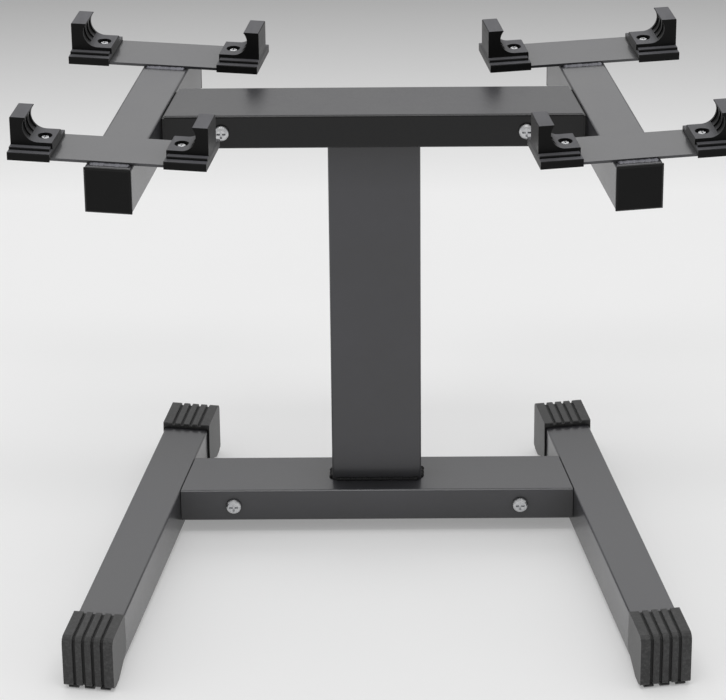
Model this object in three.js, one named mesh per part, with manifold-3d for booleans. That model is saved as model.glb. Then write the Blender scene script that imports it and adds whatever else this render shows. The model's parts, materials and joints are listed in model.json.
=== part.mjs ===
// Floor stand for a pair of adjustable dumbbells.
// Two splayed legs carry a base crossbeam, a flat column and a top crossbeam; two splayed arms
// carry four strip plates, and a moulded clip sits on each end of every plate.
// Millimetres, +Z up, the user stands at -Y, +X is to the right.
import * as THREE from 'three';
import { mergeVertices } from 'three/addons/utils/BufferGeometryUtils.js';
import Module from 'manifold-3d';

const wasm = await Module();
wasm.setup();

// ---------------------------------------------------------------- driving dimensions
const SPLAY = THREE.MathUtils.degToRad(9.5);  // arms and legs open out toward the user
const GAP = 0.3;                              // clearance between touching pieces

const TUBE = 50;                              // square tube of the arms and legs
const TUBE_WALL = 2;
const TUBE_RADIUS = 2.4;
const BEAM_DEPTH = 80;                        // rectangular tube of both crossbeams
const BEAM_HEIGHT = 38;
const COLUMN_WIDTH = 100;
const COLUMN_DEPTH = 30;

const LEG_BOTTOM = 6;                         // held off the floor by the foot caps
const LEG_TOP = LEG_BOTTOM + TUBE;
const ARM_TOP = 510;
const ARM_BOTTOM = ARM_TOP - TUBE;

const LEG_INNER_X = 213.5;                    // inner face of a leg on the beam centre line
const ARM_INNER_X = 220;                      // inner face of an arm on the beam centre line
const LEG_FRONT = -376;                       // leg tube ends, along the leg from the beam
const LEG_REAR = 160;
const ARM_FRONT = -182.2;                     // arm tube ends, along the arm from the beam
const ARM_REAR = 162.2;
const BASE_END_GAP = 0.5;
const TOP_END_GAP = 3;

const SOCKET_LENGTH = 100;                    // inner tube that the beam slides over
const SOCKET_CLEARANCE = 1;
const SOCKET_WALL = 2.5;
const BASE_BOLT_X = 160.6;
const TOP_BOLT_X = 163;
const BOLT_DIAMETER = 8;
const BOLT_HEAD = { diameter: 17, height: 5 };
const BOLT_LENGTH = 20;

const PLATE = { width: 65, thickness: 3, inner: -75.6, outer: 131.5 };
const PLATE_CENTRES = { front: -140.5, rear: 128 };
const CLIP = {
  length: 45.4, overhang: 0.5, endWall: 2, flangeDepth: 68.2, stepDepth: 52.5, blockDepth: 38,
  flangeBottom: -1.2, flangeTop: 7.4, stepTop: 10.2, stepSetback: 1.7, seatTop: 14.2, postTop: 41,
  arcRadius: 16, arcCentreU: 15.6,
  screwU: 12.4, recessDiameter: 15.4, recessFloor: 9.1, pocketRib: 3, pocketDepth: 1.6,
};
const CLIP_OUTER_A = 133.8;                   // outer end of an outer clip, across the arm
const CLIP_INNER_A = -77.9;                   // outer end of an inner clip, across the arm
const SCREW = { diameter: 5, head: 9.4, headHeight: 3.6, length: 18 };

const PLUG = { face: 4, rim: 2.2, chamfer: 2, wall: 3, spigot: 16 };

const CAP = {
  wall: 1.8, skin: 3, rib: 2.5, grooves: 4, grooveWidth: 3.8, groovePitch: 10, length: 55,
  soleWall: 2.7, pad: 3, padWidth: 10, padPitch: 17, pads: 3, bend: 5,
};

// ---------------------------------------------------------------- materials
const finish = (color, roughness, metalness) => ({ color, roughness, metalness });
const FRAME_COAT = finish(0x4a4a4d, 0.42, 0.3);
const CLIP_PLASTIC = finish(0x1c1c1d, 0.5, 0);
const FOOT_RUBBER = finish(0x303030, 0.75, 0);
const ZINC = finish(0xc9ccd0, 0.28, 1);

const group = new THREE.Group();
group.name = 'dumbbell_stand';

function addNode(name, geometry, look) {
  const mesh = new THREE.Mesh(geometry, new THREE.MeshStandardMaterial(look));
  mesh.name = name;
  group.add(mesh);
}

// ---------------------------------------------------------------- solid helpers
function toManifold(geometry) {
  const bare = geometry.clone();
  bare.deleteAttribute('normal');
  bare.deleteAttribute('uv');
  const welded = mergeVertices(bare, 1e-4);
  return new wasm.Manifold(new wasm.Mesh({
    numProp: 3,
    vertProperties: Float32Array.from(welded.attributes.position.array),
    triVerts: Uint32Array.from(welded.index.array),
  }));
}

function toGeometry(solid) {
  const mesh = solid.getMesh();
  const geometry = new THREE.BufferGeometry();
  geometry.setAttribute('position', new THREE.BufferAttribute(Float32Array.from(mesh.vertProperties), 3));
  geometry.setIndex(new THREE.BufferAttribute(Uint32Array.from(mesh.triVerts), 1));
  geometry.computeVertexNormals();
  return geometry;
}

function combine(base, { add = [], cut = [] }) {
  let solid = toManifold(base);
  for (const piece of add) solid = solid.add(toManifold(piece));
  for (const piece of cut) solid = solid.subtract(toManifold(piece));
  return toGeometry(solid);
}

function flipped(geometry) {
  const result = geometry.index ? geometry.clone() : mergeVertices(geometry);
  const index = result.index.array;
  for (let i = 0; i < index.length; i += 3) [index[i + 1], index[i + 2]] = [index[i + 2], index[i + 1]];
  return result;
}

// Mirrored in the plane x = 0.
const mirroredX = (geometry) => flipped(geometry.clone().scale(-1, 1, 1));

// Axis-aligned box between two corners.
function box(x0, x1, y0, y1, z0, z1) {
  const geometry = new THREE.BoxGeometry(x1 - x0, y1 - y0, z1 - z0);
  return geometry.translate((x0 + x1) / 2, (y0 + y1) / 2, (z0 + z1) / 2);
}

function roundedRectangle(target, width, height, radius, segments = 3) {
  const corners = [[1, 1, 0], [-1, 1, 1], [-1, -1, 2], [1, -1, 3]];
  const points = [];
  for (const [sx, sy, quarter] of corners) {
    const cx = sx * (width / 2 - radius);
    const cy = sy * (height / 2 - radius);
    for (let i = 0; i <= segments; i += 1) {
      const angle = (quarter + i / segments) * Math.PI / 2;
      points.push(new THREE.Vector2(cx + radius * Math.cos(angle), cy + radius * Math.sin(angle)));
    }
  }
  target.setFromPoints(points);
  return target;
}

// Hollow rectangular tube standing on z = 0.
function tube(width, height, wall, radius, length) {
  const shape = roundedRectangle(new THREE.Shape(), width, height, radius);
  const innerRadius = Math.max(radius - wall, 0.6);
  shape.holes.push(roundedRectangle(new THREE.Path(), width - 2 * wall, height - 2 * wall, innerRadius));
  return new THREE.ExtrudeGeometry(shape, { depth: length, bevelEnabled: false, steps: 1 });
}

const basis = (x, y, z) => new THREE.Matrix4().makeBasis(
  new THREE.Vector3(...x), new THREE.Vector3(...y), new THREE.Vector3(...z));
const ALONG_X = basis([0, 1, 0], [0, 0, 1], [1, 0, 0]);    // section x -> Y, section y -> Z
const ALONG_Y = basis([-1, 0, 0], [0, 0, 1], [0, 1, 0]);   // section x -> -X, section y -> Z
const PROFILE_YZ = basis([1, 0, 0], [0, 0, 1], [0, -1, 0]); // section in XZ, pulled along -Y

// A tube across the stand, its ends cut parallel to the splayed tubes beside them.
function mitredTube(width, height, wall, radius, x0, x1, mitreStart, mitreEnd) {
  const geometry = tube(width, height, wall, radius, x1 - x0).applyMatrix4(ALONG_X).translate(x0, 0, 0);
  const position = geometry.attributes.position;
  const middle = (x0 + x1) / 2;
  for (let i = 0; i < position.count; i += 1) {
    const y = position.getY(i);
    const x = position.getX(i);
    const shift = x > middle ? -mitreEnd * y * Math.tan(SPLAY) : mitreStart * y * Math.tan(SPLAY);
    position.setX(i, x + shift);
  }
  return geometry;
}

function rod(diameter, length, segments = 24) {
  return new THREE.CylinderGeometry(diameter / 2, diameter / 2, length, segments);
}

// Shaft along +Z from z = 0.
const upright = (diameter, length, segments) =>
  rod(diameter, length, segments).rotateX(Math.PI / 2).translate(0, 0, length / 2);

// ---------------------------------------------------------------- fasteners
// Pan-head machine screw: underside of the head on z = 0, shank down -Z, cross recess on top.
function panHeadScrew(diameter, head, headHeight, length) {
  const points = [[0, 0], [head / 2, 0], [head / 2, headHeight * 0.5], [head * 0.47, headHeight * 0.74],
    [head * 0.39, headHeight * 0.92], [head * 0.26, headHeight], [0, headHeight]];
  const outline = points.map(([r, z]) => new THREE.Vector2(r, z));
  const dome = new THREE.LatheGeometry(outline, 28).rotateX(Math.PI / 2);
  const shank = upright(diameter, length + 0.5, 20).translate(0, 0, -length);
  const slot = head * 0.13;
  const reach = head * 0.29;
  const floor = headHeight * 0.4;
  const cut = [
    box(-reach, reach, -slot / 2, slot / 2, floor, headHeight + 1),
    box(-slot / 2, slot / 2, -reach, reach, floor, headHeight + 1),
  ];
  return combine(dome, { add: [shank], cut });
}

function hexNut(across, bore, height) {
  const shape = new THREE.Shape();
  const points = [];
  for (let i = 0; i < 6; i += 1) {
    const angle = i * Math.PI / 3;
    points.push(new THREE.Vector2(Math.cos(angle), Math.sin(angle)).multiplyScalar(across / Math.sqrt(3)));
  }
  shape.setFromPoints(points);
  const hole = new THREE.Path();
  hole.absarc(0, 0, bore / 2, 0, Math.PI * 2, true);
  shape.holes.push(hole);
  return new THREE.ExtrudeGeometry(shape, { depth: height, bevelEnabled: false, curveSegments: 20 });
}

// ---------------------------------------------------------------- crossbeams, column, sockets
const frontHole = (x, z, diameter) =>
  rod(diameter, 30, 24).translate(x, -BEAM_DEPTH / 2, z);

function crossbeam(innerX, endGap, boltX, top) {
  const half = innerX - endGap;
  const centre = top - BEAM_HEIGHT / 2;
  const beam = mitredTube(BEAM_DEPTH, BEAM_HEIGHT, TUBE_WALL, TUBE_RADIUS, -half, half, 1, 1)
    .translate(0, 0, centre);
  const cut = [-1, 1].map((side) => frontHole(side * boltX, centre, BOLT_DIAMETER + 2 * GAP));
  return combine(beam, { cut });
}

function socket(innerX, boltX, top) {
  const inside = 2 * (TUBE_WALL + SOCKET_CLEARANCE);
  const centre = top - BEAM_HEIGHT / 2;
  const end = innerX - GAP / Math.cos(SPLAY);
  const body = mitredTube(BEAM_DEPTH - inside, BEAM_HEIGHT - inside, SOCKET_WALL, TUBE_RADIUS,
    end - SOCKET_LENGTH, end, 0, 1).translate(0, 0, centre);
  return combine(body, { cut: [frontHole(boltX, centre, BOLT_DIAMETER + 2 * GAP)] });
}

addNode('base_crossbeam', crossbeam(LEG_INNER_X, BASE_END_GAP, BASE_BOLT_X, LEG_TOP), FRAME_COAT);
addNode('column', tube(COLUMN_WIDTH, COLUMN_DEPTH, TUBE_WALL, TUBE_RADIUS,
  ARM_TOP - BEAM_HEIGHT - LEG_TOP - 2 * GAP).translate(0, 0, LEG_TOP + GAP), FRAME_COAT);
addNode('top_crossbeam', crossbeam(ARM_INNER_X, TOP_END_GAP, TOP_BOLT_X, ARM_TOP), FRAME_COAT);

for (const [joint, innerX, boltX, top] of [
  ['base', LEG_INNER_X, BASE_BOLT_X, LEG_TOP], ['top', ARM_INNER_X, TOP_BOLT_X, ARM_TOP]]) {
  const piece = joint === 'base' ? 'leg' : 'arm';
  const stub = socket(innerX, boltX, top);
  const centre = top - BEAM_HEIGHT / 2;
  const bolt = panHeadScrew(BOLT_DIAMETER, BOLT_HEAD.diameter, BOLT_HEAD.height, BOLT_LENGTH)
    .rotateX(Math.PI / 2).translate(boltX, -BEAM_DEPTH / 2 - GAP, centre);
  const nutFace = -BEAM_DEPTH / 2 + TUBE_WALL + SOCKET_CLEARANCE + SOCKET_WALL + GAP;
  const nut = hexNut(13, BOLT_DIAMETER + 2 * GAP, 6.5).rotateX(-Math.PI / 2)
    .translate(boltX, nutFace, centre);
  for (const [side, turn] of [['left', mirroredX], ['right', (g) => g.clone()]]) {
    addNode(`${side}_${piece}_socket`, turn(stub), FRAME_COAT);
    addNode(`${side}_${joint}_bolt`, turn(bolt), ZINC);
    addNode(`${side}_${joint}_nut`, turn(nut), ZINC);
  }
}

// ---------------------------------------------------------------- splayed tubes
// Geometry beside a tube is drawn in the tube's own frame: x across the tube from its inner face
// outward, y along the tube toward the rear, z up. This carries it to the stand.
function onSide(side, innerX, geometry) {
  const turned = geometry.clone().rotateZ(SPLAY).translate(innerX, 0, 0);
  return side === 'left' ? mirroredX(turned) : turned;
}

const squareTube = (front, rear, bottom) => tube(TUBE, TUBE, TUBE_WALL, TUBE_RADIUS, rear - front)
  .applyMatrix4(ALONG_Y).translate(TUBE / 2, front, bottom + TUBE / 2);

// Rubber sleeve for a leg end: end face toward -y, ribs over the top and down the end face,
// open toward +y, three pads under the sole.
function footCap(tubeEnd) {
  const left = -GAP - CAP.wall;
  const right = TUBE + GAP + CAP.wall;
  const end = tubeEnd - GAP - CAP.skin;
  const skinTop = LEG_TOP + GAP + CAP.skin;
  const open = end + CAP.length;
  const soleTop = LEG_BOTTOM - GAP;
  const soleBottom = soleTop - CAP.soleWall;

  const side = (points, x0, x1) => {
    const shape = new THREE.Shape(points.map(([y, z]) => new THREE.Vector2(y, z)));
    return new THREE.ExtrudeGeometry(shape, { depth: x1 - x0, bevelEnabled: false })
      .applyMatrix4(ALONG_X).translate(x0, 0, 0);
  };
  const bendPoints = (y, z, radius, steps = 4) => Array.from({ length: steps + 1 }, (_, i) => {
    const angle = Math.PI / 2 + (i / steps) * Math.PI / 2;
    return [y + radius + radius * Math.cos(angle), z - radius + radius * Math.sin(angle)];
  });
  const skin = [
    [open, skinTop], ...bendPoints(end, skinTop, CAP.bend),
    [end, soleBottom + 5], [end + 1.5, soleBottom + 1.5], [end + 5, soleBottom],
    [end + 20, soleBottom], [open + 0.5, 18], [open + 1.5, 34],
  ];
  const rib = [
    [open, skinTop - 1], [open, skinTop + CAP.rib - 0.8], [open - 0.8, skinTop + CAP.rib],
    ...bendPoints(end - CAP.rib, skinTop + CAP.rib, CAP.bend + CAP.rib),
    [end - CAP.rib, soleBottom + 4], [end - CAP.rib + 1.2, soleBottom + 2],
    [end + 1, soleBottom + 2], [end + 1, skinTop - 1],
  ];
  const pad = [
    [end + 1, soleTop], [end - 1, soleBottom], [end + 1, 0.8], [end + 3, 0], [end + 37, 0],
    [end + 40, soleTop],
  ];
  const add = [box(left + 6, right - 6, end + 4, end + 42, soleBottom, soleTop + 1)];
  // The ribs stand between the grooves; the two outer ribs run out to the sides.
  let ribStart = left;
  for (let i = 0; i <= CAP.grooves; i += 1) {
    const groove = TUBE / 2 + (i - (CAP.grooves - 1) / 2) * CAP.groovePitch;
    const ribEnd = i < CAP.grooves ? groove - CAP.grooveWidth / 2 : right;
    add.push(side(rib, ribStart, ribEnd));
    ribStart = groove + CAP.grooveWidth / 2;
  }
  for (let i = 0; i < CAP.pads; i += 1) {
    const x = TUBE / 2 + (i - (CAP.pads - 1) / 2) * CAP.padPitch;
    add.push(side(pad, x - CAP.padWidth / 2, x + CAP.padWidth / 2));
  }
  const cut = [box(-GAP, TUBE + GAP, tubeEnd - GAP, open + 60, LEG_BOTTOM - GAP, LEG_TOP + GAP)];
  return combine(side(skin, left, right), { add, cut });
}

// Moulded square plug: chamfered face toward -y, hollow spigot pushed into the tube.
function armPlug(tubeEnd) {
  const back = tubeEnd - GAP;
  const face = back - PLUG.face;
  const rim = back - PLUG.rim;
  const flange = box(0, TUBE, rim, back, ARM_BOTTOM, ARM_TOP);
  const chamfer = box(0, TUBE, face, rim + 0.2, ARM_BOTTOM, ARM_TOP);
  const position = chamfer.attributes.position;
  for (let i = 0; i < position.count; i += 1) {
    if (position.getY(i) > rim) continue;
    const outer = position.getX(i) > TUBE / 2;
    const upper = position.getZ(i) > ARM_TOP - TUBE / 2;
    position.setX(i, outer ? TUBE - PLUG.chamfer : PLUG.chamfer);
    position.setZ(i, upper ? ARM_TOP - PLUG.chamfer : ARM_BOTTOM + PLUG.chamfer);
  }
  const fit = TUBE_WALL + 2 * GAP;
  const bore = fit + PLUG.wall;
  const spigot = box(fit, TUBE - fit, back - 0.5, back + PLUG.spigot, ARM_BOTTOM + fit, ARM_TOP - fit);
  const hollow = box(bore, TUBE - bore, back + 1, back + 60, ARM_BOTTOM + bore, ARM_TOP - bore);
  return combine(flange, { add: [chamfer, spigot], cut: [hollow] });
}

// The rear end of a tube takes the front fitting turned end for end.
const turnedAbout = (geometry, y) => geometry.rotateZ(Math.PI).translate(TUBE, 2 * y, 0);

const legTube = squareTube(LEG_FRONT, LEG_REAR, LEG_BOTTOM);
const armTube = squareTube(ARM_FRONT, ARM_REAR, ARM_BOTTOM);
const frontCap = footCap(LEG_FRONT);
const rearCap = turnedAbout(footCap(LEG_REAR), LEG_REAR);
const frontPlug = armPlug(ARM_FRONT);
const rearPlug = turnedAbout(armPlug(ARM_REAR), ARM_REAR);

for (const side of ['left', 'right']) {
  addNode(`${side}_leg`, onSide(side, LEG_INNER_X, legTube), FRAME_COAT);
  addNode(`${side}_arm`, onSide(side, ARM_INNER_X, armTube), FRAME_COAT);
  addNode(`front_${side}_foot_cap`, onSide(side, LEG_INNER_X, frontCap), FOOT_RUBBER);
  addNode(`rear_${side}_foot_cap`, onSide(side, LEG_INNER_X, rearCap), FOOT_RUBBER);
  addNode(`front_${side}_arm_plug`, onSide(side, ARM_INNER_X, frontPlug), CLIP_PLASTIC);
  addNode(`rear_${side}_arm_plug`, onSide(side, ARM_INNER_X, rearPlug), CLIP_PLASTIC);
}

// ---------------------------------------------------------------- cradles
// Clip frame: u from the seat end to the outer end, v along the arm, w up from the plate's underside.
function cradleClip() {
  const { length, overhang } = CLIP;
  const postOuter = length - overhang;
  const arcCentreW = CLIP.seatTop + CLIP.arcRadius;   // the curve leaves the seat without a corner
  const arc = (w) => CLIP.arcCentreU + Math.sqrt(Math.max(CLIP.arcRadius ** 2 - (w - arcCentreW) ** 2, 0));
  const lip = CLIP.postTop - 0.6;
  const profile = [[0, CLIP.flangeTop - 1], [postOuter, CLIP.flangeTop - 1], [postOuter, CLIP.postTop - 0.8],
    [postOuter - 0.8, CLIP.postTop], [arc(lip) + 0.6, CLIP.postTop]];
  const lipAngle = Math.asin((lip - arcCentreW) / CLIP.arcRadius);
  const steps = 18;
  for (let i = 0; i <= steps; i += 1) {
    const angle = lipAngle + (-Math.PI / 2 - lipAngle) * (i / steps);
    profile.push([CLIP.arcCentreU + CLIP.arcRadius * Math.cos(angle),
      arcCentreW + CLIP.arcRadius * Math.sin(angle)]);
  }
  profile.push([0.8, CLIP.seatTop], [0, CLIP.seatTop - 0.8]);
  const across = (points, depth) => new THREE.ExtrudeGeometry(
    new THREE.Shape(points.map(([u, w]) => new THREE.Vector2(u, w))), { depth, bevelEnabled: false })
    .applyMatrix4(PROFILE_YZ).translate(0, depth / 2, 0);

  const block = across(profile, CLIP.blockDepth);
  const skirt = (start, end, depth, bottom, top, chamfer) => {
    const half = depth / 2;
    const outline = [[-half, bottom], [half, bottom], [half, top - chamfer], [half - chamfer, top],
      [chamfer - half, top], [-half, top - chamfer]];
    const shape = new THREE.Shape(outline.map(([v, w]) => new THREE.Vector2(v, w)));
    return new THREE.ExtrudeGeometry(shape, { depth: end - start, bevelEnabled: false })
      .applyMatrix4(ALONG_X).translate(start, 0, 0);
  };
  const flange = skirt(0, length, CLIP.flangeDepth, CLIP.flangeBottom, CLIP.flangeTop, 0.8);
  const step = skirt(CLIP.stepSetback, postOuter + 0.2, CLIP.stepDepth, CLIP.flangeTop - 1,
    CLIP.stepTop, 0.8);
  const plateHalf = PLATE.width / 2 + GAP;
  const cut = [
    box(-5, length - CLIP.endWall, -plateHalf, plateHalf, -5, PLATE.thickness + 2 * GAP),
    upright(SCREW.diameter + 2 * GAP, 30, 20).translate(CLIP.screwU, 0, -5),
    upright(CLIP.recessDiameter, 20, 32).translate(CLIP.screwU, 0, CLIP.recessFloor),
  ];
  // Three shallow lightening pockets follow the curve of the cradle face.
  const pocketWidth = (CLIP.blockDepth - 4 * CLIP.pocketRib) / 3;
  for (let i = -1; i <= 1; i += 1) {
    const v = i * (pocketWidth + CLIP.pocketRib);
    const ring = [];
    for (let k = 0; k <= 10; k += 1) {
      const angle = THREE.MathUtils.degToRad(-54 + (k / 10) * 78);
      const r = CLIP.arcRadius + CLIP.pocketDepth;
      ring.push([CLIP.arcCentreU + r * Math.cos(angle), arcCentreW + r * Math.sin(angle)]);
    }
    ring.push([CLIP.arcCentreU + 11 * Math.cos(0.3), arcCentreW + 11 * Math.sin(0.3)],
      [CLIP.arcCentreU + 11 * Math.cos(-0.8), arcCentreW + 11 * Math.sin(-0.8)]);
    cut.push(across(ring, pocketWidth).translate(0, v, 0));
  }
  return combine(block, { add: [flange, step], cut });
}

const clip = cradleClip();
const clipScrew = panHeadScrew(SCREW.diameter, SCREW.head, SCREW.headHeight, SCREW.length)
  .translate(CLIP.screwU, 0, CLIP.recessFloor + GAP);
const clipNut = hexNut(8, SCREW.diameter + 2 * GAP, 4).translate(CLIP.screwU, 0, -4);
const plateHole = SCREW.diameter + 2 * GAP;

for (const [row, centre] of Object.entries(PLATE_CENTRES)) {
  const lift = ARM_TOP;
  const ends = {
    outer: (g) => g.clone().translate(CLIP_OUTER_A - CLIP.length, centre, lift),
    inner: (g) => mirroredX(g).translate(CLIP_INNER_A + CLIP.length, centre, lift),
  };
  const plate = combine(
    box(PLATE.inner, PLATE.outer, centre - PLATE.width / 2, centre + PLATE.width / 2,
      lift + GAP, lift + GAP + PLATE.thickness),
    { cut: Object.values(ends).map((put) => put(upright(plateHole, 20, 20).translate(CLIP.screwU, 0, -5))) });
  for (const side of ['left', 'right']) {
    addNode(`${row}_${side}_cradle_plate`, onSide(side, ARM_INNER_X, plate), FRAME_COAT);
    for (const [end, put] of Object.entries(ends)) {
      const stem = `${row}_${side}_${end}_clip`;
      addNode(stem, onSide(side, ARM_INNER_X, put(clip)), CLIP_PLASTIC);
      addNode(`${stem}_screw`, onSide(side, ARM_INNER_X, put(clipScrew)), ZINC);
      addNode(`${stem}_nut`, onSide(side, ARM_INNER_X, put(clipNut)), ZINC);
    }
  }
}

// Origin under the centre of the stand, on the floor.
const bounds = new THREE.Box3().setFromObject(group);
const shiftX = -(bounds.min.x + bounds.max.x) / 2;
const shiftY = -(bounds.min.y + bounds.max.y) / 2;
for (const mesh of group.children) mesh.geometry.translate(shiftX, shiftY, -bounds.min.z);

export default group;
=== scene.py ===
"""Looks for the stand that holds a pair of adjustable dumbbells."""

import json
import math

import bmesh
import bpy
from mathutils import Matrix, Vector


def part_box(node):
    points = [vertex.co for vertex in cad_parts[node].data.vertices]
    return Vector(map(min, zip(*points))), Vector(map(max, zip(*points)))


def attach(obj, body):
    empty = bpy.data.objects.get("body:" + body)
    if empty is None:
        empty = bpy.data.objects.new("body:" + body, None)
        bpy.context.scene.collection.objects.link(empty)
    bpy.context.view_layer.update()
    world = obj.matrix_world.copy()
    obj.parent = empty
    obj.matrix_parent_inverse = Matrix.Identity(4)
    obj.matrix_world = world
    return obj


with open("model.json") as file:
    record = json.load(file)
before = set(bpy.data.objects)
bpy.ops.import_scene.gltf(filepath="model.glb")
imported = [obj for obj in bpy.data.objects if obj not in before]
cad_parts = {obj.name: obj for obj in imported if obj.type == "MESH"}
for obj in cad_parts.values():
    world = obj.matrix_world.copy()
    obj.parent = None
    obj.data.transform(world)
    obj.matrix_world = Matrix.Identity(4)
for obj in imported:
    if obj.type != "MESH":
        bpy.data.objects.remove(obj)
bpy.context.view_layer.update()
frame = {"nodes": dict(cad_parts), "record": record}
nodes = frame["nodes"]
slot_of = {part["node"]: part["material_slot"] for part in frame["record"]["subparts"]}

# ------------------------------------------------------------------ camera
CAMERA_PLACE = (0.01624, -3.56381, 2.03153)
CAMERA_TURN = math.radians(0.476)
CAMERA_PITCH = math.radians(26.436)
CAMERA_ROLL = math.radians(-0.579)
FOCAL_LENGTH_PX = 3682.3
IMAGE_WIDTH = 726
SENSOR_WIDTH = 36.0                # millimetres
VIEW_LIMIT = 60                    # metres


def add_camera():
    data = bpy.data.cameras.new("camera")
    data.sensor_fit = "HORIZONTAL"
    data.sensor_width = SENSOR_WIDTH
    data.lens = FOCAL_LENGTH_PX * SENSOR_WIDTH / IMAGE_WIDTH
    data.clip_end = VIEW_LIMIT
    camera = bpy.data.objects.new("camera", data)
    bpy.context.scene.collection.objects.link(camera)
    camera.matrix_world = (
        Matrix.Translation(CAMERA_PLACE)
        @ Matrix.Rotation(CAMERA_TURN, 4, "Z")
        @ Matrix.Rotation(math.pi / 2 - CAMERA_PITCH, 4, "X")
        @ Matrix.Rotation(CAMERA_ROLL, 4, "Z")
    )
    bpy.context.scene.camera = camera


# ------------------------------------------------------------------ material helpers
class Nodes:
    """A node material under construction, all of it in the object's own coordinates (metres)."""

    def __init__(self, name):
        self.material = bpy.data.materials.new(name)
        self.material.use_nodes = True
        self.tree = self.material.node_tree
        self.shader = self.tree.nodes["Principled BSDF"]
        coordinates = self.add("ShaderNodeTexCoord")
        self.place = coordinates.outputs["Object"]
        self.facing = coordinates.outputs["Normal"]

    def add(self, kind, **settings):
        node = self.tree.nodes.new(kind)
        for key, value in settings.items():
            setattr(node, key, value)
        return node

    def link(self, source, target):
        self.tree.links.new(source, target)

    def noise(self, scale, detail=3.0, roughness=0.5, stretch=None):
        node = self.add("ShaderNodeTexNoise")
        node.inputs["Scale"].default_value = scale
        node.inputs["Detail"].default_value = detail
        node.inputs["Roughness"].default_value = roughness
        place = self.place
        if stretch:
            mapping = self.add("ShaderNodeMapping")
            mapping.inputs["Scale"].default_value = stretch
            self.link(self.place, mapping.inputs["Vector"])
            place = mapping.outputs["Vector"]
        self.link(place, node.inputs["Vector"])
        return node.outputs["Fac"]

    def cells(self, scale):
        node = self.add("ShaderNodeTexVoronoi")
        node.inputs["Scale"].default_value = scale
        self.link(self.place, node.inputs["Vector"])
        return node.outputs["Distance"]

    def span(self, value, low, high, from_low=0.3, from_high=0.7):
        node = self.add("ShaderNodeMapRange")
        node.inputs["From Min"].default_value = from_low
        node.inputs["From Max"].default_value = from_high
        node.inputs["To Min"].default_value = low
        node.inputs["To Max"].default_value = high
        self.link(value, node.inputs["Value"])
        return node.outputs["Result"]

    def upward(self):
        """1 on faces that look up, 0 on walls and undersides."""
        axis = self.add("ShaderNodeSeparateXYZ")
        self.link(self.facing, axis.inputs[0])
        return self.span(axis.outputs["Z"], 0, 1, 0.7, 0.97)

    def open_to_light(self, reach):
        """1 on open faces, falling toward 0 in grooves and corners within `reach` of another face."""
        node = self.add("ShaderNodeAmbientOcclusion", samples=8)
        node.inputs["Distance"].default_value = reach
        return node.outputs["AO"]

    def shade(self, color, light, depth):
        """Darken a colour where little light gets in."""
        return self.mix(self.math("POWER", light, depth), grey(0.0), color)

    def math(self, operation, first, second):
        node = self.add("ShaderNodeMath", operation=operation)
        for socket, value in zip(node.inputs, (first, second)):
            if isinstance(value, (int, float)):
                socket.default_value = value
            else:
                self.link(value, socket)
        return node.outputs[0]

    def mix(self, factor, first, second):
        node = self.add("ShaderNodeMix", data_type="RGBA")
        inputs = (node.inputs[0], node.inputs[6], node.inputs[7])   # factor and the two colours
        for socket, value in zip(inputs, (factor, first, second)):
            if isinstance(value, (int, float, tuple)):
                socket.default_value = value
            else:
                self.link(value, socket)
        return node.outputs[2]

    def bump(self, height, distance, strength=1.0, under=None):
        node = self.add("ShaderNodeBump")
        node.inputs["Strength"].default_value = strength
        node.inputs["Distance"].default_value = distance
        self.link(height, node.inputs["Height"])
        if under is not None:
            self.link(under, node.inputs["Normal"])
        return node.outputs["Normal"]

    def finish(self, color=None, roughness=None, normal=None, **values):
        for socket, value in (("Base Color", color), ("Roughness", roughness), ("Normal", normal)):
            if value is not None:
                self.link(value, self.shader.inputs[socket])
        for socket, value in values.items():
            self.shader.inputs[socket.replace("_", " ")].default_value = value
        return self.material


def grey(value, tint=0.0):
    return (value, value, value * (1 + tint), 1.0)


# ------------------------------------------------------------------ materials
def paint_top_light(n, color, drift, top_light):
    """Painted light on the faces that look up: a pale, uneven tone standing in for the light those tops
    catch.
    """
    lit_tops = n.mix(n.span(drift, 0, 1), grey(top_light * 0.9, 0.08), grey(top_light * 1.1, 0.12))
    return n.mix(n.upward(), color, lit_tops)


def powder_coat(name, tone, gloss, coat, top_light=0.0, **values):
    """Charcoal powder coat: fine orange peel, a slow drift in tone and gloss, and tiny light flecks."""
    n = Nodes(name)
    drift = n.noise(9, 4, 0.6)
    peel = n.noise(520, 2, 0.5)
    grain = n.noise(2400, 2, 0.6)
    tone_mix = n.mix(n.span(drift, 0, 1), grey(tone * 0.88, 0.12), grey(tone * 1.14, 0.18))
    fleck = n.span(n.cells(1500), 1, 0, 0.02, 0.14)
    color = n.mix(n.math("MULTIPLY", fleck, 0.35), tone_mix, grey(tone * 3.2, 0.02))
    # Painted light: faces that look up are lightened, standing in for the light they catch.
    if top_light:
        color = paint_top_light(n, color, drift, top_light)
    color = n.shade(color, n.open_to_light(0.06), 2.0)
    rough = n.math("ADD", n.span(drift, gloss - 0.03, gloss + 0.04), n.span(grain, -0.04, 0.04))
    normal = n.bump(peel, 0.00008, 0.6)
    normal = n.bump(grain, 0.00002, 0.35, normal)
    return n.finish(color, rough, normal, Metallic=0.0, Coat_Weight=coat, Coat_Roughness=0.2, **values)


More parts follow.
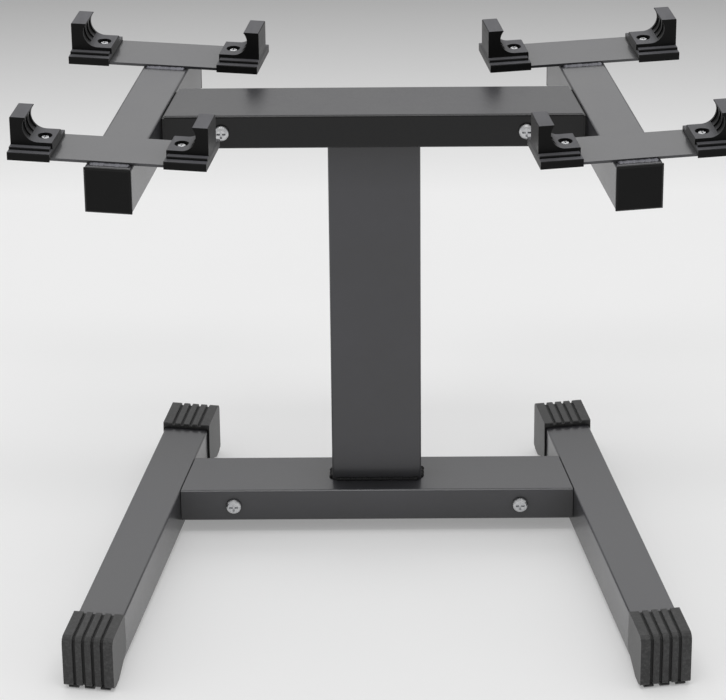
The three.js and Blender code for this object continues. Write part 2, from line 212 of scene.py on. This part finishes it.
def moulded_plastic(name, tone, gloss, top_light=0.0, **values):
    """Black moulded plastic with a fine spark-eroded texture and faint handling marks."""
    n = Nodes(name)
    drift = n.noise(22, 4, 0.6)
    texture = n.noise(1700, 3, 0.65)
    scuff = n.noise(160, 5, 0.7, (1, 0.12, 1))
    color = n.mix(n.span(drift, 0, 1), grey(tone * 0.85), grey(tone * 1.25))
    color = n.mix(n.span(scuff, 0, 0.25, 0.6, 0.75), color, grey(tone * 3))
    # Painted light: faces that look up are lightened, standing in for the light they catch.
    if top_light:
        color = paint_top_light(n, color, drift, top_light)
    rough = n.math("ADD", n.span(scuff, gloss - 0.03, gloss + 0.08), n.span(texture, -0.05, 0.05))
    return n.finish(color, rough, n.bump(texture, 0.00004, 0.6), **values)


def moulded_rubber(name, tone, **values):
    """Black rubber: matt, slightly chalky, with pores."""
    n = Nodes(name)
    drift = n.noise(30, 5, 0.65)
    pores = n.cells(1100)
    bloom = n.noise(300, 5, 0.7)
    color = n.mix(n.span(drift, 0, 1), grey(tone * 0.85), grey(tone * 1.2))
    color = n.mix(n.span(bloom, 0, 0.6, 0.45, 0.68), color, grey(tone * 2.8))
    color = n.shade(color, n.open_to_light(0.006), 3.0)
    rough = n.span(bloom, 0.45, 0.66)
    normal = n.bump(n.span(pores, 0, 1, 0.0, 0.3), 0.00005, 0.5)
    return n.finish(color, rough, n.bump(n.noise(480, 3), 0.00012, 0.5, normal), **values)


def zinc_plate(name):
    """Bright zinc plating: fine turning marks, cloudy passivation."""
    n = Nodes(name)
    cloud = n.noise(260, 4, 0.6)
    marks = n.noise(2600, 2, 0.5, (1, 1, 0.2))
    color = n.mix(n.span(cloud, 0, 1), (0.48, 0.49, 0.51, 1), (0.68, 0.68, 0.68, 1))
    rough = n.math("ADD", n.span(cloud, 0.2, 0.34), n.span(marks, -0.04, 0.05))
    return n.finish(color, rough, n.bump(marks, 0.000015, 0.5), Metallic=1.0)


MATERIALS = {
    "frame_coat": powder_coat("frame_coat", 0.032, 0.4, 0.62),
    # A darker copy of the coat for the top crossbeam and the arm sockets, with painted light on its tops.
    "shaded_beam_coat": powder_coat("shaded_beam_coat", 0.002, 0.25, 0.0, top_light=0.036, IOR=1.42, Sheen_Weight=0.5,
                             Sheen_Roughness=0.25),
    # The weld coats are a shaded and a lit copy of the coat: painted shade on the column beads, a painted
    # highlight on the plate beads.
    "shaded_weld_coat": powder_coat("shaded_weld_coat", 0.004, 0.45, 0.0, IOR=1.25),
    "lit_weld_coat": powder_coat("lit_weld_coat", 0.14, 0.45, 0.4),
    # The clips take painted light on the faces that look up.
    "clip_plastic": moulded_plastic("clip_plastic", 0.002, 0.36, top_light=0.075, IOR=1.2, Sheen_Weight=0.12),
    "plug_plastic": moulded_plastic("plug_plastic", 0.003, 0.45, IOR=1.22, Sheen_Weight=0.1),
    "foot_rubber": moulded_rubber("foot_rubber", 0.034, IOR=1.36, Sheen_Weight=0.24, Sheen_Roughness=0.4),
    "zinc": zinc_plate("zinc"),
}
# On the arm sockets the darker coat is painted shade in the gaps beside the crossbeam.
SHADED_COAT_NODES = ("top_crossbeam", "left_arm_socket", "right_arm_socket")

# ------------------------------------------------------------------ CAD nodes
EDGE_ROUND = {
    "frame_coat": 0.0004,
    "clip_plastic": 0.0005,
    "plug_plastic": 0.0006,
    "foot_rubber": 0.0009,
    "zinc": 0.0003,
}
MERGE_DISTANCE = 0.00001
FLAT_ANGLE = math.radians(0.6)     # facets closer than this are one flat face
EDGE_ANGLE = math.radians(35)      # edges sharper than this are rounded


def soften(node, radius):
    """Small rounded edges on a CAD node, through modifiers only."""
    weld = node.modifiers.new("weld", "WELD")
    weld.merge_threshold = MERGE_DISTANCE
    flat = node.modifiers.new("flat_faces", "DECIMATE")
    flat.decimate_type = "DISSOLVE"
    flat.angle_limit = FLAT_ANGLE
    bevel = node.modifiers.new("edges", "BEVEL")
    bevel.width = radius
    bevel.segments = 2
    bevel.limit_method = "ANGLE"
    bevel.angle_limit = EDGE_ANGLE
    bevel.harden_normals = False
    smooth = node.modifiers.new("normals", "WEIGHTED_NORMAL")
    smooth.keep_sharp = True


for name, node in nodes.items():
    slot = slot_of[name]
    node.data.materials.clear()
    node.data.materials.append(MATERIALS["shaded_beam_coat" if name in SHADED_COAT_NODES else slot])
    soften(node, EDGE_ROUND[slot])

# ------------------------------------------------------------------ weld beads
SPLAY = math.radians(9.5)          # arms open out toward the user
# The column beads carry painted shade and the plate beads a painted highlight, through their coats.
COLUMN_BEAD = {"leg": 0.003, "rise": 1.0, "coat": "shaded_weld_coat"}   # rise: height over width
PLATE_BEAD = {"leg": 0.005, "rise": 0.36, "coat": "lit_weld_coat"}
BEAD_STEP = 0.0005                 # distance between cross-sections
BEAD_POINTS = 9                    # points on the visible side of a cross-section
BEAD_ROOT = 0.0001                 # the inner corner lies this far inside the joint
BEAD_TAPER = 0.002                 # length over which each end swells to full size
END_LUMP = {"size": 0.3, "length": 0.003}
RIPPLE_PITCH = 0.0019
RIPPLE_HEIGHT = 0.16
RIPPLE_LAG = 0.0007                # each ripple bows forward at its crown
UNEVENNESS = 0.2
PLATE_HALF_WIDTH = 0.0325
PLATE_WELD_HALF = 0.0215
COLUMN_CORNER = 0.0035             # the beads stop short of the tube's rounded corners
UP = Vector((0, 0, 1))


def wobble(distance, seed):
    """Smooth, repeatable unevenness in -1..1 along a bead."""
    return (math.sin(distance * 310 + seed * 1.7) + math.sin(distance * 830 + seed * 4.1)
            + 0.6 * math.sin(distance * 1900 + seed * 2.3)) / 2.6


def weld_bead(name, start, end, out, up, leg, rise, coat, seed):
    """A rippled fillet bead in the corner between a face toward `out` and a face toward `up`."""
    along = end - start
    length = along.length
    along.normalize()
    steps = max(int(length / BEAD_STEP), 8)
    points, faces = [], []
    for i in range(steps + 1):
        t = i / steps
        distance = t * length
        taper = min(1.0, (0.25 + min(t, 1 - t) * length / BEAD_TAPER))
        ripple = (distance / RIPPLE_PITCH + 0.12 * wobble(distance, seed + 3)) % 1.0
        lump = END_LUMP["size"] * math.exp(-((length - distance) / END_LUMP["length"]) ** 2)
        for k in range(BEAD_POINTS):
            angle = (k / (BEAD_POINTS - 1)) * math.pi / 2
            bow = math.sin(2 * angle)
            crown = (1 + 0.15 * bow) / (math.cos(angle) + math.sin(angle))
            swell = 1 + RIPPLE_HEIGHT * (1 - ripple) * bow + UNEVENNESS * wobble(distance, seed) + lump
            reach = leg * taper * crown * swell
            points.append(start + along * (distance + RIPPLE_LAG * bow)
                          + out * (reach * math.cos(angle)) + up * (rise * reach * math.sin(angle)))
        points.append(start + along * distance - out * BEAD_ROOT)
    width = BEAD_POINTS + 1
    for i in range(steps):
        for k in range(width):
            a, b = i * width + k, i * width + (k + 1) % width
            faces.append((a, b, b + width, a + width))
    faces.append(tuple(range(width))[::-1])
    faces.append(tuple(steps * width + k for k in range(width)))
    mesh = bpy.data.meshes.new(name)
    mesh.from_pydata([tuple(p) for p in points], [], faces)
    shape = bmesh.new()
    shape.from_mesh(mesh)
    bmesh.ops.recalc_face_normals(shape, faces=shape.faces)
    shape.to_mesh(mesh)
    shape.free()
    for face in mesh.polygons:
        face.use_smooth = True
    mesh.materials.append(MATERIALS[coat])
    bead = bpy.data.objects.new(name, mesh)
    bpy.context.scene.collection.objects.link(bead)
    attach(bead, "root")


def middle(box):
    return (Vector(box[0]) + Vector(box[1])) / 2


def add_plate_welds():
    for s, side in enumerate(("left", "right")):
        sign = 1 if side == "right" else -1
        along = Vector((-sign * math.sin(SPLAY), math.cos(SPLAY), 0))
        across = Vector((sign * math.cos(SPLAY), math.sin(SPLAY), 0))
        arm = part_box(f"{side}_arm")
        arm_middle = middle(arm)
        for r, row in enumerate(("front", "rear")):
            plate = middle(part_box(f"{row}_{side}_cradle_plate"))
            offset = (plate - arm_middle).dot(along)
            for edge, direction in (("front", -1), ("rear", 1)):
                foot = arm_middle + along * (offset + direction * PLATE_HALF_WIDTH)
                foot.z = arm[1][2]
                ends = (foot - across * PLATE_WELD_HALF, foot + across * PLATE_WELD_HALF)
                if side == "left":
                    ends = ends[::-1]
                name = f"weld_{row}_{side}_plate_{edge}"
                weld_bead(name, ends[0], ends[1], along * direction, UP,
                          seed=s * 7 + r * 3 + direction, **PLATE_BEAD)


def add_column_welds():
    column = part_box("column")
    (left, front, _), (right, rear, _) = column
    x0, x1 = left + COLUMN_CORNER, right - COLUMN_CORNER
    y0, y1 = front + COLUMN_CORNER, rear - COLUMN_CORNER
    faces = (
        ("front", (x0, front), (x1, front), Vector((0, -1, 0))),
        ("rear", (x1, rear), (x0, rear), Vector((0, 1, 0))),
        ("left", (left, y1), (left, y0), Vector((-1, 0, 0))),
        ("right", (right, y0), (right, y1), Vector((1, 0, 0))),
    )
    ends = (
        ("foot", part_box("base_crossbeam")[1][2], UP),
        ("head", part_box("top_crossbeam")[0][2], -UP),
    )
    for end, z, up in ends:
        for face, start, stop, out in faces:
            weld_bead(f"weld_column_{end}_{face}", Vector((*start, z)), Vector((*stop, z)), out, up,
                      seed=len(face) + (5 if end == "foot" else 11), **COLUMN_BEAD)


add_plate_welds()
add_column_welds()

# ------------------------------------------------------------------ studio
FLOOR_SIZE = 9.0
FADE_START, FADE_END = 1.0, 2.0    # the floor darkens between these distances behind the stand
FLOOR_GLOW = 0.25
WORLD_LIGHT = 0.55


def add_floor():
    mesh = bpy.data.meshes.new("floor")
    size = FLOOR_SIZE
    corners = [(-size, -size, 0), (size, -size, 0), (size, size, 0), (-size, size, 0)]
    mesh.from_pydata(corners, [], [(0, 1, 2, 3)])
    floor = bpy.data.objects.new("floor", mesh)
    bpy.context.scene.collection.objects.link(floor)
    n = Nodes("floor_paper")
    paper = n.noise(3, 3)
    axis = n.add("ShaderNodeSeparateXYZ")
    n.link(n.place, axis.inputs[0])
    fade = n.span(axis.outputs["Y"], 0, 1, FADE_START, FADE_END)
    near = n.mix(n.span(paper, 0, 1), grey(0.63), grey(0.64))
    color = n.mix(fade, near, grey(0.2))
    n.link(n.mix(fade, grey(1.0), grey(0.33)), n.shader.inputs["Emission Color"])
    mesh.materials.append(n.finish(color, n.span(paper, 0.8, 0.9), n.bump(n.noise(900, 2), 0.00005, 0.2),
                                   IOR=1.2, Emission_Strength=FLOOR_GLOW))


def add_area_light(name, place, aim, size, power):
    data = bpy.data.lights.new(name, "AREA")
    data.shape = "RECTANGLE"
    data.size, data.size_y = size
    data.energy = power
    light = bpy.data.objects.new(name, data)
    bpy.context.scene.collection.objects.link(light)
    light.location = place
    light.rotation_euler = (Vector(aim) - Vector(place)).to_track_quat("-Z", "Y").to_euler()


def add_studio():
    scene = bpy.context.scene
    scene.view_settings.view_transform = "Standard"
    world = bpy.data.worlds.new("studio")
    world.use_nodes = True
    world.node_tree.nodes["Background"].inputs["Color"].default_value = (0.97, 0.97, 0.97, 1)
    world.node_tree.nodes["Background"].inputs["Strength"].default_value = WORLD_LIGHT
    scene.world = world
    add_area_light("overhead", (0, 0.0, 3.0), (0, 0, 0), (2.6, 1.6), 14)
    add_area_light("back", (0, 1.8, 1.65), (0, 0.1, 0.5), (3.2, 1.3), 10)
    add_area_light("left", (-2.6, -0.2, 1.0), (0, 0, 0.7), (3.0, 1.6), 10)
    add_area_light("right", (2.6, -0.2, 1.0), (0, 0, 0.7), (3.0, 1.6), 6)
    add_area_light("front_top", (0, -1.2, 2.9), (0, 0, 0.3), (1.8, 0.5), 16)


add_floor()
add_studio()
add_camera()
